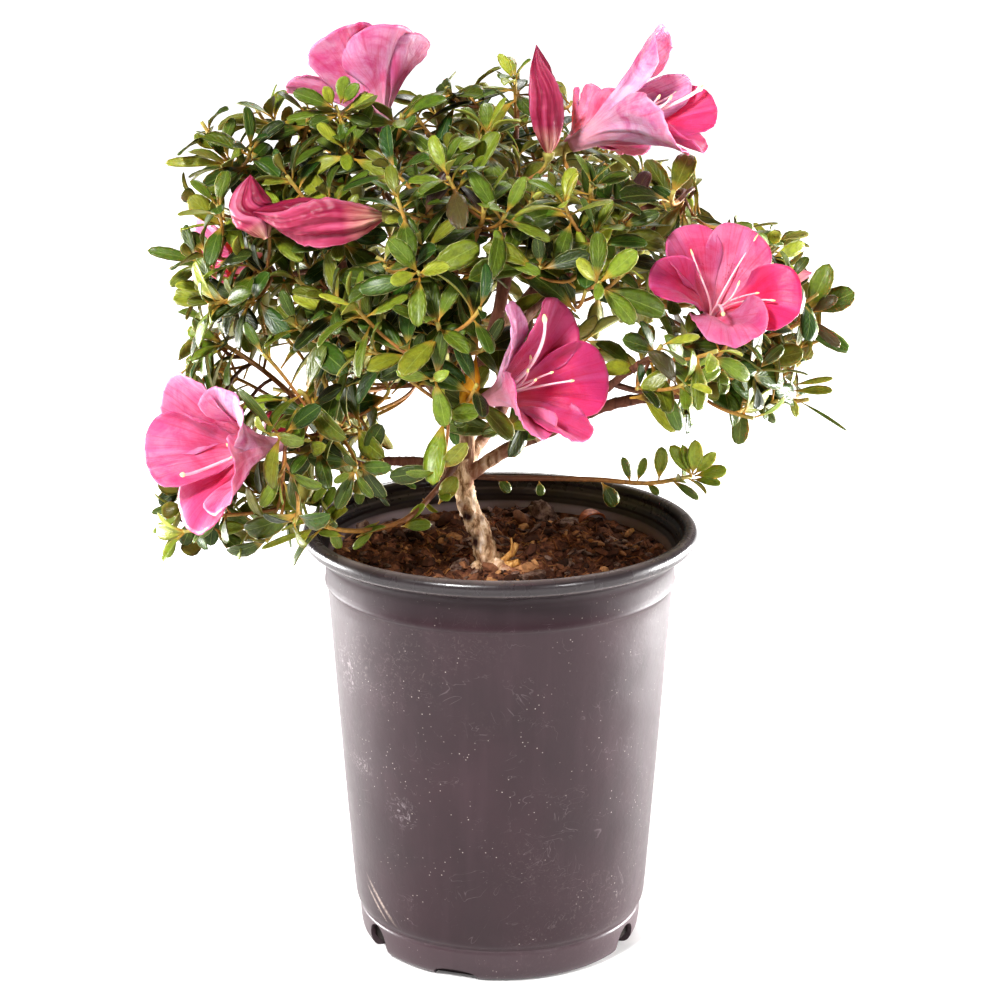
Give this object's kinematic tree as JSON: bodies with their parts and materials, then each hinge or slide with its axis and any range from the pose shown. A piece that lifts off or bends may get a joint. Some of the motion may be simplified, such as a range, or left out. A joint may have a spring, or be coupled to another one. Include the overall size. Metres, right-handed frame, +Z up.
{
  "type": "satsuki azalea bonsai",
  "caption": "Small flowering azalea tree in training as a bonsai, its crown of leaf whorls and open funnel blooms on a short trunk, in a round plastic nursery pot filled with soil.",
  "frame": {"origin": "centre of the pot's flat underside, on the pot's axis, where it stands", "axes": "+Z up along the pot's axis; -Y towards the viewer of the picture; +X to the viewer's right"},
  "size_m": [0.2894, 0.2415, 0.391],
  "materials": {
    "pot_plastic": "satin",
    "potting_mix": "matte",
    "old_bark": "matte",
    "bark_chip": "matte",
    "azalea_leaf": "satin",
    "fresh_petal": "satin",
    "wilted_petal": "matte",
    "stamen": "satin",
    "bud": "satin"
  },
  "bodies": {
    "root": {"pot": "pot_plastic", "soil": "potting_mix", "trunk": "old_bark", "bark_chip_1": "bark_chip", "bark_chip_2": "bark_chip", "bark_chip_3": "bark_chip", "bark_chip_4": "bark_chip", "bark_chip_5": "bark_chip", "bough_top": "azalea_leaf", "bough_top_left": "azalea_leaf", "bough_top_front": "azalea_leaf", "bough_high_front": "azalea_leaf", "bough_top_right": "azalea_leaf", "bough_right_high": "azalea_leaf", "bough_right_mid": "azalea_leaf", "bough_front": "azalea_leaf", "bough_front_low": "azalea_leaf", "bough_front_right": "azalea_leaf", "bough_right_front": "azalea_leaf", "bough_right_low": "azalea_leaf", "bough_right_side": "azalea_leaf", "bough_right_upper": "azalea_leaf", "bough_left_low": "azalea_leaf", "bough_left_side": "azalea_leaf", "bough_left_front": "azalea_leaf", "bough_left_upper": "azalea_leaf", "bough_left_middle": "azalea_leaf", "bough_left_crown": "azalea_leaf", "bough_runner_right": "azalea_leaf", "bough_runner_left": "azalea_leaf", "bough_back_left": "azalea_leaf", "bough_back_left_low": "azalea_leaf", "bough_back_right": "azalea_leaf", "bough_back_right_low": "azalea_leaf", "bough_back_low": "azalea_leaf", "bough_back_top": "azalea_leaf", "bough_back_crown": "azalea_leaf", "bough_back_side": "azalea_leaf", "bloom_top": "fresh_petal", "stamens_top": "stamen", "bloom_crest": "fresh_petal", "stamens_crest": "stamen", "bloom_behind": "fresh_petal", "stamens_behind": "stamen", "bloom_side": "fresh_petal", "stamens_side": "stamen", "bloom_left": "fresh_petal", "stamens_left": "stamen", "bloom_centre": "fresh_petal", "stamens_centre": "stamen", "bloom_right": "fresh_petal", "stamens_right": "stamen", "wilted_bloom_upright": "wilted_petal", "wilted_bloom_drooping": "wilted_petal", "bud_left": "bud", "bud_right": "bud"}
  },
  "joints": []
}
